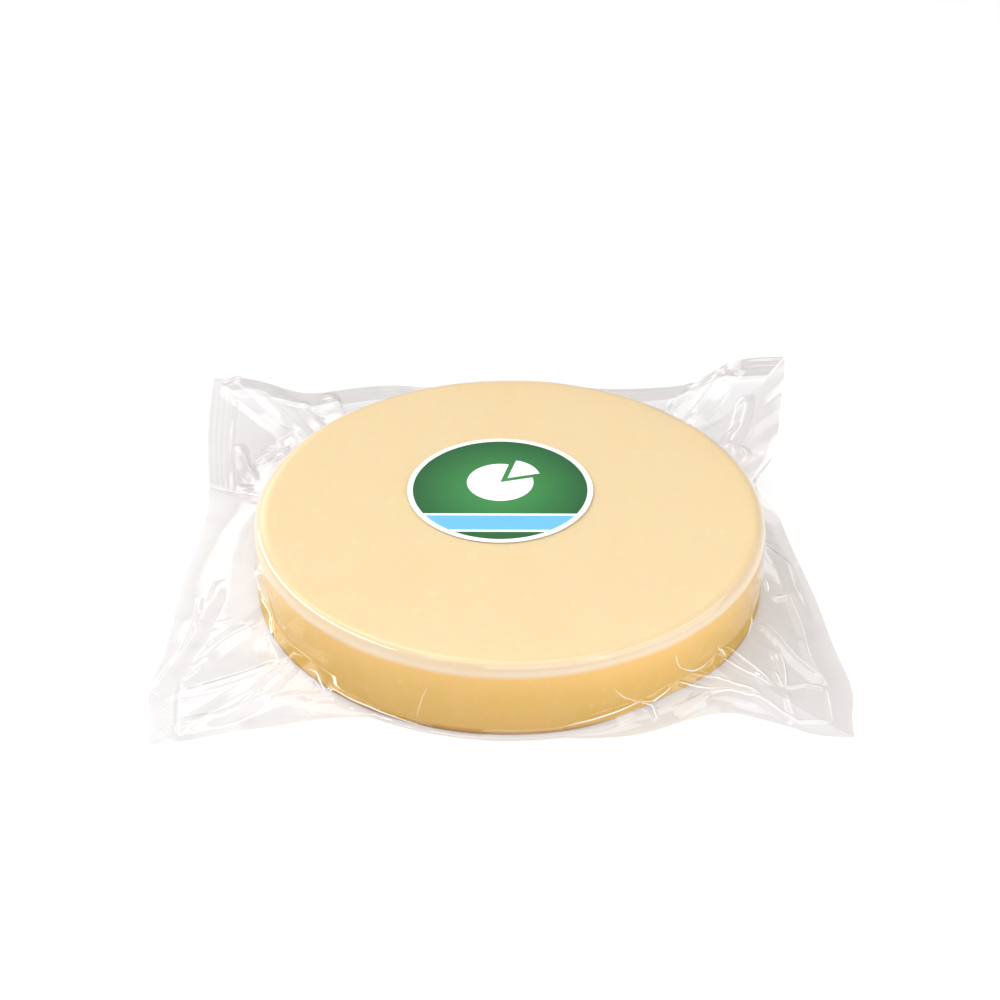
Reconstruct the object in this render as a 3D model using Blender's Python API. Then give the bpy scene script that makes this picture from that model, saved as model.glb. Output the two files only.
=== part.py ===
"""Provoleta: a flat disc of aged, smoked cheese sealed in a clear pouch, with a round paper label.

Metres, +Z up. The origin is the centre of the disc's underside, on the surface that it rests on,
and the viewer stands towards -Y.
"""

import math

import bmesh
import bpy

MM = 0.001

# The cheese disc, as the film wraps it
DISC_RADIUS = 60.0 * MM
DISC_HEIGHT = 20.1 * MM
RIM_ROUNDING = 3.2 * MM
RIM_STEPS = 5

# The pouch's corners on plan
FRONT_LEFT = (-78.6 * MM, -63.5 * MM)
FRONT_RIGHT = (75.7 * MM, -60.3 * MM)
BACK_RIGHT = (72.1 * MM, 80.7 * MM)
BACK_LEFT = (-77.4 * MM, 74.1 * MM)

# The flange: two films drawn as one sheet, thick enough to be a solid
FLANGE_THICKNESS = 0.8 * MM
FLANGE_CLEARANCE = 0.35 * MM
FRONT_LIP = 1.6 * MM
EDGE_STEPS = 30
FLANGE_STEPS = 7

# How high the film leaves the wall of the disc, at the front and at the back
TENT_FRONT = 4.0 * MM
TENT_BACK = 8.0 * MM
TENT_FALL = 2.2

# How far the corners stand up, and where that falls off along the back side, with the fall's width
BACK_RIGHT_LIFT = 12.7 * MM
BACK_LEFT_LIFT = 9.7 * MM
BACK_MIDDLE_LIFT = 4.7 * MM
RIGHT_LIFT_POWER = 2.6
LEFT_LIFT_POWER = 3.0
BACK_RIGHT_FALL = (0.124, 0.018)
BACK_LEFT_FALL = (0.107, 0.022)
LIFT_ACROSS = 1.6

# The folded flap of film at the back of the left side, which lies over the rest of the flange
FLAP_HEIGHT = 1.4 * MM
FLAP_END = 0.31
FLAP_STEP = 0.02

# The round label on the film above the disc
LABEL_RADIUS = 22.0 * MM
LABEL_THICKNESS = 0.25 * MM
LABEL_GAP = 0.3 * MM
LABEL_CENTRE = (-2.2 * MM, 7.7 * MM)
LABEL_SIDES = 72

POUCH_COLOUR = (0.94, 0.76, 0.43, 1.0)
LABEL_COLOUR = (0.05, 0.22, 0.08, 1.0)


def bump(t, at, width, depth):
    """A smooth bump of this depth around one place of a side."""
    return depth * math.exp(-(((t - at) / width) ** 2))


def front_dip(t):
    left = bump(t, 0.30, 0.20, 9.0 * MM)
    right = bump(t, 0.82, 0.10, 9.0 * MM)
    return left + right


def right_dip(t):
    broad = bump(t, 0.62, 0.25, 7.6 * MM)
    pinch = bump(t, 0.66, 0.055, 4.6 * MM)
    swell = bump(t, 0.12, 0.08, 1.8 * MM)
    return broad + pinch - swell


def back_dip(t):
    right = bump(t, 0.26, 0.10, 1.6 * MM)
    swell = bump(t, 0.70, 0.08, 2.4 * MM)
    left = bump(t, 0.84, 0.05, 1.2 * MM)
    return right + left - swell


def left_dip(t):
    waist = bump(t, 0.37, 0.16, 3.6 * MM)
    swell = bump(t, 0.86, 0.08, 2.2 * MM)
    return waist - swell


def front_lift(t):
    return 0.0


def right_lift(t):
    return BACK_RIGHT_LIFT * t**RIGHT_LIFT_POWER


def corner_share(t, fall):
    """How much of a corner's lift is left at this share of the side away from the corner."""
    middle, width = fall
    return (1.0 + math.exp(-middle / width)) / (1.0 + math.exp((t - middle) / width))


def back_lift(t):
    right = (BACK_RIGHT_LIFT - BACK_MIDDLE_LIFT) * corner_share(t, BACK_RIGHT_FALL)
    left = (BACK_LEFT_LIFT - BACK_MIDDLE_LIFT) * corner_share(1.0 - t, BACK_LEFT_FALL)
    return BACK_MIDDLE_LIFT + right + left


def left_lift(t):
    return BACK_LEFT_LIFT * (1.0 - t) ** LEFT_LIFT_POWER


def flap_rise(t):
    """How much the folded flap adds at this place of the left side."""
    fall = 1.0 / (1.0 + math.exp((t - FLAP_END) / FLAP_STEP))
    return FLAP_HEIGHT * fall * min(1.0, t / 0.06)


SIDES = (
    (FRONT_LEFT, FRONT_RIGHT, front_dip, front_lift),
    (FRONT_RIGHT, BACK_RIGHT, right_dip, right_lift),
    (BACK_RIGHT, BACK_LEFT, back_dip, back_lift),
    (BACK_LEFT, FRONT_LEFT, left_dip, left_lift),
)


def outline():
    """One station for each step round the pouch: direction, radius, lift and the flap's height."""
    stations = []
    for start, end, dip, lift in SIDES:
        along = (end[0] - start[0], end[1] - start[1])
        length = math.hypot(*along)
        inward = (-along[1] / length, along[0] / length)
        for step in range(EDGE_STEPS):
            t = step / EDGE_STEPS
            ends = min(1.0, 12.0 * t, 12.0 * (1.0 - t))
            depth = dip(t) * ends
            x = start[0] + along[0] * t + inward[0] * depth
            y = start[1] + along[1] * t + inward[1] * depth
            radius = max(math.hypot(x, y), DISC_RADIUS + FRONT_LIP)
            flap = flap_rise(t) if lift is left_lift else 0.0
            stations.append((math.atan2(y, x), radius, lift(t), flap))
    return stations


def section(angle, radius, lift, flap):
    """Radius and height of the closed section in one direction, from the top's centre outwards and back."""
    flat = DISC_RADIUS - RIM_ROUNDING
    points = [(flat * share, DISC_HEIGHT) for share in (0.4, 0.75)]
    for step in range(RIM_STEPS + 1):
        turn = 0.5 * math.pi * step / RIM_STEPS
        points.append(
            (
                flat + RIM_ROUNDING * math.sin(turn),
                DISC_HEIGHT - RIM_ROUNDING * (1.0 - math.cos(turn)),
            )
        )
    width = radius - DISC_RADIUS
    backwards = 0.5 + 0.5 * math.sin(angle)
    tent = min(TENT_FRONT + (TENT_BACK - TENT_FRONT) * backwards, width)
    top = []
    bottom = []
    for step in range(FLANGE_STEPS + 1):
        share = step / FLANGE_STEPS
        reach = DISC_RADIUS + width * share
        under = FLANGE_CLEARANCE * min(1.0, 4.0 * share) + lift * share**LIFT_ACROSS
        fold = flap * math.sin(math.pi * min(1.0, 1.6 * share) * 0.5)
        over = under + FLANGE_THICKNESS + fold + tent * (1.0 - share) ** TENT_FALL
        top.append((reach, over))
        bottom.append((reach, under))
    points.extend(top)
    points.extend(reversed(bottom))
    points.append((DISC_RADIUS * 0.6, 0.0))
    return points


def new_object(name, mesh_data, colour, roughness):
    mesh = bpy.data.meshes.new(name)
    mesh_data.to_mesh(mesh)
    mesh_data.free()
    for polygon in mesh.polygons:
        polygon.use_smooth = True
    material = bpy.data.materials.new(name + "_finish")
    material.use_nodes = True
    shader = material.node_tree.nodes["Principled BSDF"]
    shader.inputs["Base Color"].default_value = colour
    shader.inputs["Roughness"].default_value = roughness
    mesh.materials.append(material)
    made = bpy.data.objects.new(name, mesh)
    bpy.context.scene.collection.objects.link(made)
    return made


def lathe(columns, top_centre, bottom_centre):
    """A closed body from sections that all run from the top's centre round to the bottom's centre."""
    data = bmesh.new()
    top = data.verts.new(top_centre)
    bottom = data.verts.new(bottom_centre)
    rings = [[data.verts.new(point) for point in column] for column in columns]
    for index, column in enumerate(rings):
        following = rings[(index + 1) % len(rings)]
        data.faces.new((top, column[0], following[0]))
        for step in range(len(column) - 1):
            data.faces.new(
                (column[step], column[step + 1], following[step + 1], following[step])
            )
        data.faces.new((column[-1], bottom, following[-1]))
    bmesh.ops.triangulate(data, faces=data.faces[:])
    bmesh.ops.recalc_face_normals(data, faces=data.faces[:])
    return data


def make_pouch():
    columns = []
    for angle, radius, lift, flap in outline():
        direction = (math.cos(angle), math.sin(angle))
        columns.append(
            [
                (direction[0] * reach, direction[1] * reach, height)
                for reach, height in section(angle, radius, lift, flap)
            ]
        )
    data = lathe(columns, (0.0, 0.0, DISC_HEIGHT), (0.0, 0.0, 0.0))
    return new_object("sealed_pouch", data, POUCH_COLOUR, 0.35)


def make_label():
    under = DISC_HEIGHT + LABEL_GAP
    over = under + LABEL_THICKNESS
    columns = []
    for side in range(LABEL_SIDES):
        angle = 2.0 * math.pi * side / LABEL_SIDES
        x = LABEL_CENTRE[0] + LABEL_RADIUS * math.cos(angle)
        y = LABEL_CENTRE[1] + LABEL_RADIUS * math.sin(angle)
        columns.append([(x, y, over), (x, y, under)])
    data = lathe(columns, (*LABEL_CENTRE, over), (*LABEL_CENTRE, under))
    return new_object("label", data, LABEL_COLOUR, 0.5)


def main():
    for leftover in list(bpy.data.objects):
        bpy.data.objects.remove(leftover, do_unlink=True)
    make_pouch()
    make_label()


main()
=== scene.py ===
"""Looks of a provoleta: a disc of aged, smoked cheese sealed in a clear pouch with a round paper label.

Metres, +Z up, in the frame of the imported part. Lengths named in millimetres say so.
"""

import math
from typing import NamedTuple

import bpy
import numpy as np
from bpy.props import FloatProperty, FloatVectorProperty, IntProperty, PointerProperty
from mathutils import Matrix, Vector


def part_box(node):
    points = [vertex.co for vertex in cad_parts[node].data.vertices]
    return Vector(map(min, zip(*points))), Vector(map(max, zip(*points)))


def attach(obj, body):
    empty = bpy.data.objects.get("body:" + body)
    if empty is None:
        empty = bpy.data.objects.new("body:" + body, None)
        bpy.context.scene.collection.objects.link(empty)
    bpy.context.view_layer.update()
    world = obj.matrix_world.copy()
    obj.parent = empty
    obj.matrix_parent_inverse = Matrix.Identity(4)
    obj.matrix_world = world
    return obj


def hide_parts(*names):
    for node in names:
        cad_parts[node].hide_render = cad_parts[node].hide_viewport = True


bl_info = {
    "name": "Provoleta in a clear pouch",
    "version": (1, 0, 0),
    "blender": (4, 5, 0),
    "location": "3D View > Sidebar > Provoleta",
    "description": "Builds the cheese, the clear film, its seals and the label around the packed part",
    "category": "Object",
}

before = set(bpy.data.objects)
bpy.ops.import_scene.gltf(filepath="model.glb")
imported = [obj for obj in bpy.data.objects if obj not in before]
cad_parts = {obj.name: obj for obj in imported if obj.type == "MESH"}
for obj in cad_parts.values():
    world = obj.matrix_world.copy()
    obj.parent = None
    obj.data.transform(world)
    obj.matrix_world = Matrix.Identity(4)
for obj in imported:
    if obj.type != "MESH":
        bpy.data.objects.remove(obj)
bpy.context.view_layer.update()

MM = 0.001
BODY = "root"
POUCH_NODE = "sealed_pouch"
LABEL_NODE = "label"

# The disc as the solid has it, in millimetres
DISC_RADIUS = 60.0
DISC_HEIGHT = 20.1
RIM_ROUNDING = 3.2

# The pouch's corners on plan, in millimetres
FRONT_LEFT = (-78.6, -63.5)
FRONT_RIGHT = (75.7, -60.3)
BACK_RIGHT = (72.1, 80.7)
BACK_LEFT = (-77.4, 74.1)

# The pouch's border, in millimetres: its least width, the thickness that the solid gives it, and how far
# the solid's underside lies above the table
FRONT_LIP = 1.6
SHEET_GAP = 0.8
CLEARANCE = 0.35

# How high the film leaves the disc's wall at the front and at the back, in millimetres, and how steeply
# that falls towards the outline
TENT_FRONT = 4.0
TENT_BACK = 8.0
TENT_FALL = 2.2

# How high the back corners and the back edge stand, in millimetres
BACK_RIGHT_LIFT = 12.7
BACK_LEFT_LIFT = 9.7
BACK_MIDDLE_LIFT = 4.7

# How that falls along the sides and towards the disc, and along the back as a place and a width
RIGHT_LIFT_POWER = 2.6
LEFT_LIFT_POWER = 3.0
LIFT_ACROSS = 1.6
BACK_RIGHT_FALL = (0.124, 0.018)
BACK_LEFT_FALL = (0.107, 0.022)

# How many times shorter than a side the stretch is over which its curve sets in from a corner
CORNER_EASE = 12.0

# The back seal, in millimetres: its pressed width, the welded strip along its edge, and its ribs
SEAL_WIDTH = 6.6
SEAL_STRIP = 5.0
RIB_PITCH = 1.5
RIB_HEIGHT = 0.02

# Two corners on plan of the patch of dots that the sealing jaws leave at the front left
DOTTED_PATCH = ((-80.0, -64.0), (-74.2, -43.0))

# Heights above the table, in millimetres: of the lower film, of the cheese's underside, and the least
# height of the upper film
LOWER_FILM_LEVEL = 0.06
CHEESE_LEVEL = 0.15
LEAST_UPPER_LEVEL = 0.45

# How far apart the two films are drawn along the outline, in millimetres
EDGE_GAP = 0.12


class Web(NamedTuple):
    """Film that stands off the disc's wall: direction and spread in degrees, and rise in millimetres."""

    direction: float
    spread: float
    rise: float


WEBS = (
    Web(203.0, 9.0, 2.5),
    Web(222.0, 6.0, 1.5),
    Web(233.0, 5.0, 1.0),
    Web(-39.0, 7.0, 1.2),
    Web(-54.0, 5.0, 1.0),
    Web(-8.0, 6.0, 1.5),
)

# How round the crest of a crease is, in millimetres and as a share of its width
CREST = 0.12
CREST_SHARE = 0.12

# How much a crease's line curves at its corners: 0.5 is a full curve
BEND = 0.2

# The ribbons of painted highlight on sharp creases: how far they lie above the film and how near a place
# of the film has to be to carry them, in millimetres, and half their width as a share of the line's
RIBBON_RAISE = 0.14
RIBBON_REACH = 0.3
RIBBON_HALF = 0.32

# The flap at the back of the left side: where it ends as a share of the side, and its height there in
# millimetres
FLAP_END = 0.31
FLAP_RISE = 1.2

# How wide the cheese's pale clouds and specks are, in millimetres
CLOUD_SIZE = 14.286
SPECK_SIZE = 1.923

# Where the cheese's foot is rounded more, at the front right, and how far that spreads, in radians
SAG_TOWARDS = 5.34
SAG_SPREAD = 0.24

# The label, in millimetres: how far its underside lies above the disc, the paper's thickness, the step
# between its printed layers, and its bare margin
LABEL_RAISE = 0.08
PAPER_THICKNESS = 0.12
LAYER_STEP = 0.02
LABEL_MARGIN = 1.3

# The camera's place and what it looks at, in metres
CAMERA_PLACE = (0.0, -0.48613, 0.35168)
CAMERA_TARGET = (-0.00235, 0.03298, 0.0)

# The room's brightness between the side opposite the bright side, at 0, and the bright side, at 1
ROOM = (
    (0.0, 0.10),
    (0.45, 0.16),
    (0.60, 0.28),
    (0.80, 0.42),
    (1.0, 0.80),
)

# The white sweep round the table fades between these heights, each the sine of the angle that it
# stands above the horizon
SWEEP_FADE = (0.10, 0.28)


def linear(hex_colour):
    """An sRGB hex colour as linear red, green, blue and alpha."""
    channels = [int(hex_colour[at : at + 2], 16) / 255.0 for at in (1, 3, 5)]
    straight = [
        value / 12.92 if value <= 0.04045 else ((value + 0.055) / 1.055) ** 2.4
        for value in channels
    ]
    return (*straight, 1.0)


def grey(level):
    """A neutral colour of this linear brightness."""
    return (level, level, level, 1.0)


def colour_setting(name, description, hex_colour):
    """A colour in the sidebar, given as an sRGB hex value."""
    return FloatVectorProperty(
        name=name,
        description=description,
        subtype="COLOR",
        size=4,
        min=0.0,
        max=1.0,
        default=linear(hex_colour),
    )


def length_setting(name, description, millimetres):
    """A length in the sidebar, given in millimetres."""
    return FloatProperty(
        name=name,
        description=description,
        default=millimetres * MM,
        min=0.0,
        unit="LENGTH",
        subtype="DISTANCE",
        precision=5,
    )


class CheeseSettings(bpy.types.PropertyGroup):
    inset: length_setting("Inset", "How far the cheese stays inside the film", 0.25)
    rim: length_setting("Rim rounding", "Radius of the disc's top edge", 3.0)
    foot: length_setting("Foot rounding", "Radius of the disc's bottom edge", 1.0)
    sag: length_setting("Sag", "How much more the foot is rounded at the front right", 3.2)
    top: colour_setting("Top", "Colour of the disc's top face", "#e9d3a6")
    # Painted highlight: the rim colour stands in for the softboxes' soft reflection on the rounded top
    # edge
    rim_highlight_colour: colour_setting("Rim", "Colour of the pale band round the top edge", "#e0cdad")
    wall: colour_setting("Wall", "Colour of the middle of the disc's wall", "#e2b95f")
    # Painted shade: the foot colour darkens the wall's lowest part, where shade falls near the table
    foot_shade_colour: colour_setting("Foot", "Colour of the wall's lowest part", "#d6ae5a")


class FilmSettings(bpy.types.PropertyGroup):
    columns: IntProperty(
        name="Columns", description="Steps round the upper film", default=2300, min=60
    )
    rings: IntProperty(
        name="Rings", description="Steps from the disc's foot to the outline", default=108, min=10
    )
    small_folds: IntProperty(
        name="Small creases", description="Small creases scattered over the border", default=30, min=0
    )
    fold_scale: FloatProperty(
        name="Fold height", description="Height of the folds against the real pack", default=1.0, min=0.0
    )
    clear: colour_setting("Clear film", "Light that one film lets through", "#faf9f9")
    # Painted shade: a darker tint of the same film for the right border, for the shade beside the disc
    right_shade_tint: colour_setting("Dense film", "Light that the film on the right lets through", "#f3f1f0")
    sealed: colour_setting("Sealed film", "Light that the welded band lets through", "#e9e7e6")
    gloss: FloatProperty(
        name="Gloss", description="Reflection of a film against that of one bare surface", default=1.7
    )
    tight_gloss: FloatProperty(
        name="Tight gloss", description="Gloss where the film lies on the cheese", default=1.2
    )
    roughness: FloatProperty(
        name="Roughness",
        description="Roughness of the loose film's gloss",
        default=0.05,
        min=0.0,
        max=1.0,
        subtype="FACTOR",
    )
    tight_roughness: FloatProperty(
        name="Tight roughness",
        description="Roughness of the gloss where the film lies on the cheese",
        default=0.12,
        min=0.0,
        max=1.0,
        subtype="FACTOR",
    )


class LabelSettings(bpy.types.PropertyGroup):
    paper: colour_setting("Paper", "Bare paper of the label's margin", "#fbfbf6")
    green: colour_setting("Green", "Printed green at the middle", "#3f8f4a")
    dark_green: colour_setting("Dark green", "Printed green at the edge", "#1f5a30")
    blue: colour_setting("Pale blue", "Printed pale blue", "#6cb9ea")


class StageSettings(bpy.types.PropertyGroup):
    floor: colour_setting("Floor", "Pale floor", "#bbbbbb")
    table_glow: FloatProperty(
        name="Table glow", description="Light from below the table", default=0.45, min=0.0
    )
    lens: FloatProperty(
        name="Lens", description="Camera lens on a 36 mm sensor", default=90.37, min=1.0, unit="CAMERA"
    )
    world: FloatProperty(
        name="Fill", description="Strength of the room's light", default=0.73, min=0.0
    )
    bright_side: FloatVectorProperty(
        name="Bright side",
        description="Where the room is brightest",
        default=(-0.25, -0.5, 0.83),
        subtype="DIRECTION",
    )
    windows: FloatProperty(
        name="Windows", description="Strength of the room's bright patches", default=1.0, min=0.0
    )
    softboxes: FloatProperty(
        name="Softboxes", description="Strength of all lamps", default=0.83, min=0.0
    )


class Lamp(NamedTuple):
    """A flat lamp between two ends of its middle line, in metres, and how bright it looks."""

    name: str
    start: tuple
    end: tuple
    width: float
    radiance: float


LAMPS = (
    Lamp("left_strip", (-0.65, 0.61, 0.13), (-0.50, -0.35, 0.66), 0.055, 24.0),
    Lamp("right_softbox", (0.66, 0.10, 0.20), (0.45, -0.52, 0.55), 0.50, 2.3),
    Lamp("front_softbox", (-0.20, -0.85, 0.66), (0.70, -0.80, 0.66), 0.60, 2.0),
    Lamp("top_softbox", (-0.45, -0.25, 1.00), (0.45, -0.25, 1.00), 0.60, 1.8),
)


class Window(NamedTuple):
    """A round bright patch of the room that the film mirrors.

    left is how far it lies to the left of straight behind the pack, up is its height above the
    horizon, full is how far from its middle it starts to fade and whole is how far out it ends, all
    in degrees. light is how bright it is.
    """

    left: float
    up: float
    full: float
    whole: float
    light: float

    def direction(self):
        """The way to its middle, as a vector of length one."""
        turn, rise = math.radians(self.left), math.radians(self.up)
        return (-math.sin(turn) * math.cos(rise), math.cos(turn) * math.cos(rise), math.sin(rise))


def nearness(degrees):
    """How near two directions this far apart are: 1 for the same one and 0 for opposite ones."""
    return 0.5 + 0.5 * math.cos(math.radians(degrees))


WINDOWS = (
    Window(22.0, 27.0, 7.0, 12.0, 2.8),
    Window(54.0, 48.0, 8.0, 14.0, 2.2),
    Window(50.0, 70.0, 10.0, 14.0, 2.6),
    Window(35.0, 57.0, 4.0, 6.5, 4.5),
    Window(35.0, 15.0, 7.0, 13.0, 1.5),
    Window(-2.0, 48.0, 8.0, 19.0, 0.7),
)


# Sides of the pouch: how far each dips in from the straight line and how high it stands, at a share t of
# the way along it


def bump(t, at, width, depth):
    """A smooth bump of this depth around one place of a side."""
    return depth * np.exp(-(((t - at) / width) ** 2))


def front_dip(t):
    return bump(t, 0.30, 0.20, 9.0) + bump(t, 0.82, 0.10, 9.0)


def right_dip(t):
    return bump(t, 0.62, 0.25, 7.6) + bump(t, 0.66, 0.055, 4.6) - bump(t, 0.12, 0.08, 1.8)


def back_dip(t):
    return bump(t, 0.26, 0.10, 1.6) + bump(t, 0.84, 0.05, 1.2) - bump(t, 0.70, 0.08, 2.4)


def left_dip(t):
    return bump(t, 0.37, 0.16, 3.6) - bump(t, 0.86, 0.08, 2.2)


def front_lift(t):
    return 0.0 * t


def right_lift(t):
    return BACK_RIGHT_LIFT * t**RIGHT_LIFT_POWER


def corner_share(t, fall):
    """How much of a corner's lift is left at this share of the side away from the corner."""
    middle, width = fall
    return (1.0 + math.exp(-middle / width)) / (1.0 + np.exp((t - middle) / width))


def back_lift(t):
    right = (BACK_RIGHT_LIFT - BACK_MIDDLE_LIFT) * corner_share(t, BACK_RIGHT_FALL)
    left = (BACK_LEFT_LIFT - BACK_MIDDLE_LIFT) * corner_share(1.0 - t, BACK_LEFT_FALL)
    return BACK_MIDDLE_LIFT + right + left


def left_lift(t):
    return BACK_LEFT_LIFT * (1.0 - t) ** LEFT_LIFT_POWER


RIGHT_SIDE = 1
BACK_SIDE = 2
LEFT_SIDE = 3
SIDES = (
    (FRONT_LEFT, FRONT_RIGHT, front_dip, front_lift),
    (FRONT_RIGHT, BACK_RIGHT, right_dip, right_lift),
    (BACK_RIGHT, BACK_LEFT, back_dip, back_lift),
    (BACK_LEFT, FRONT_LEFT, left_dip, left_lift),
)


class Stations(NamedTuple):
    """Places round the pouch's outline, in order against the clock as seen from above.

    Each has its angle and radius from the disc's middle, its lift, how squarely the edge crosses that
    radius, the number of its side and the share of the way along that side.
    """

    angle: np.ndarray
    radius: np.ndarray
    lift: np.ndarray
    slant: np.ndarray
    side: np.ndarray
    along: np.ndarray


def side_points(side, t):
    """Places on plan along one side, their heights, and the direction that points in from the side."""
    start, end, dip, lift = side
    along = np.subtract(end, start)
    length = math.hypot(*along)
    inward = np.array((-along[1], along[0])) / length
    ends = np.minimum(1.0, CORNER_EASE * np.minimum(t, 1.0 - t))
    depth = dip(t) * ends
    plan = np.array(start) + t[:, None] * along + depth[:, None] * inward
    return plan, lift(t), inward


def stations(columns):
    """The outline in even steps, as a mean of steps along the edge and steps round the disc."""
    fine = np.linspace(0.0, 1.0, 600)
    turn_weight = 1.2 * DISC_RADIUS
    paths = []
    for side in SIDES:
        plan, _, _ = side_points(side, fine)
        edge = np.hypot(*np.diff(plan, axis=0).T)
        turn = np.abs(np.diff(np.unwrap(np.arctan2(plan[:, 1], plan[:, 0]))))
        weight = np.concatenate(((0.0,), np.cumsum(edge + turn_weight * turn)))
        paths.append(weight)
    whole = sum(path[-1] for path in paths)
    found = []
    for side, path in zip(SIDES, paths):
        steps = round(columns * path[-1] / whole)
        t = np.interp(np.arange(steps) * path[-1] / steps, path, fine)
        plan, lift, inward = side_points(side, t)
        outwards = plan / np.hypot(*plan.T)[:, None]
        number = np.full(steps, len(found))
        found.append((plan, lift, np.abs(outwards @ inward), number, t))
    plan = np.vstack([item[0] for item in found])
    return Stations(
        angle=np.arctan2(plan[:, 1], plan[:, 0]),
        radius=np.maximum(np.hypot(*plan.T), DISC_RADIUS + FRONT_LIP),
        lift=np.concatenate([item[1] for item in found]),
        slant=np.concatenate([item[2] for item in found]),
        side=np.concatenate([item[3] for item in found]),
        along=np.concatenate([item[4] for item in found]),
    )


# Film surfaces, as grids of points with one row for each ring


def disc_rings(places, flat_rings=9, rim_rings=9, wall_rings=20):
    """Rings over the disc's top, round its rim and down its wall to where the film leaves it."""
    flat = DISC_RADIUS - RIM_ROUNDING
    innermost = 0.12
    rings = []
    for share in np.linspace(innermost, 1.0, flat_rings) ** 0.8:
        rings.append((np.full_like(places.angle, flat * share), DISC_HEIGHT + 0.0 * places.lift))
    for turn in np.linspace(0.0, 0.5 * math.pi, rim_rings)[1:]:
        reach = flat + RIM_ROUNDING * math.sin(turn)
        drop = RIM_ROUNDING * (1.0 - math.cos(turn))
        rings.append((np.full_like(places.angle, reach), DISC_HEIGHT - drop + 0.0 * places.lift))
    leave = border_height(places, 0.0)
    for share in np.linspace(0.0, 1.0, wall_rings)[1:-1]:
        height = (DISC_HEIGHT - RIM_ROUNDING) * (1.0 - share) + leave * share
        rings.append((np.full_like(places.angle, DISC_RADIUS), height))
    return rings


def border_under(places, share):
    """Height of the border's underside at this share of the way from the disc to the outline."""
    return CLEARANCE * min(1.0, 4.0 * share) + places.lift * share**LIFT_ACROSS


def border_height(places, share):
    """Height of the upper film at this share of the way from the disc to the outline."""
    width = places.radius - DISC_RADIUS
    backwards = 0.5 + 0.5 * np.sin(places.angle)
    tent = TENT_FRONT + (TENT_BACK - TENT_FRONT) * backwards
    for web in WEBS:
        turn = np.angle(np.exp(1j * (places.angle - math.radians(web.direction))))
        tent = tent + web.rise * np.exp(-((turn / math.radians(web.spread)) ** 2))
    tent = np.minimum(tent, width)
    closing = SHEET_GAP * (1.0 - share) + 0.5 * SHEET_GAP * share
    return border_under(places, share) + closing + tent * (1.0 - share) ** TENT_FALL


def upper_film_grid(places, border_rings):
    """The upper film without its folds, from the middle of the disc's top out to the outline."""
    rings = disc_rings(places)
    for share in np.linspace(0.0, 1.0, border_rings):
        reach = DISC_RADIUS + (places.radius - DISC_RADIUS) * share
        rings.append((reach, border_height(places, share)))
    return grid_from(rings, places)


def lower_film_grid(places, flat_rings=6, border_rings=22):
    """The lower film from the outline in to the middle of the disc's underside."""
    tuck = 1.5
    rings = []
    for share in np.linspace(1.0, 0.0, border_rings):
        reach = DISC_RADIUS - tuck + (places.radius - DISC_RADIUS + tuck) * share
        under = border_under(places, share) + (0.5 * SHEET_GAP - EDGE_GAP) * share**6
        rings.append((reach, np.maximum(under, LOWER_FILM_LEVEL)))
    for share in np.linspace(0.95, 0.1, flat_rings):
        level = LOWER_FILM_LEVEL + 0.0 * places.lift
        rings.append((np.full_like(places.angle, DISC_RADIUS * share), level))
    return grid_from(rings, places)


def grid_from(rings, places):
    """A grid of points from rings that give a reach and a height for every place of the outline."""
    reach = np.array([ring[0] for ring in rings])
    height = np.array([ring[1] for ring in rings])
    return np.stack(
        (reach * np.cos(places.angle), reach * np.sin(places.angle), height), axis=-1
    )


def grid_normals(grid):
    """Unit normals of a closed ring grid, which point away from the disc."""
    along = np.roll(grid, -1, axis=1) - np.roll(grid, 1, axis=1)
    across = np.gradient(grid, axis=0)
    normal = np.cross(across, along)
    length = np.linalg.norm(normal, axis=-1, keepdims=True)
    return normal / np.maximum(length, 1e-9)


def smooth_grid(values, times):
    """Spreads each value of a ring grid over its neighbours."""
    for _ in range(times):
        side = 0.5 * (np.roll(values, 1, axis=1) + np.roll(values, -1, axis=1))
        padded = np.pad(values, ((1, 1),) + ((0, 0),) * (values.ndim - 1), mode="edge")
        ends = 0.5 * (padded[:-2] + padded[2:])
        values = 0.5 * values + 0.25 * (side + ends)
    return values


# Folds


class Fold(NamedTuple):
    """A crease along a path: its height and how wide the slopes on its two sides are, in millimetres.

    start and end are the shares of the path over which it fades, and line is the width of the ribbon of
    painted highlight laid along its crest.
    """

    path: tuple
    height: float
    left: float
    right: float
    start: float = 0.25
    end: float = 0.25
    line: float = 0.0


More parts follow.
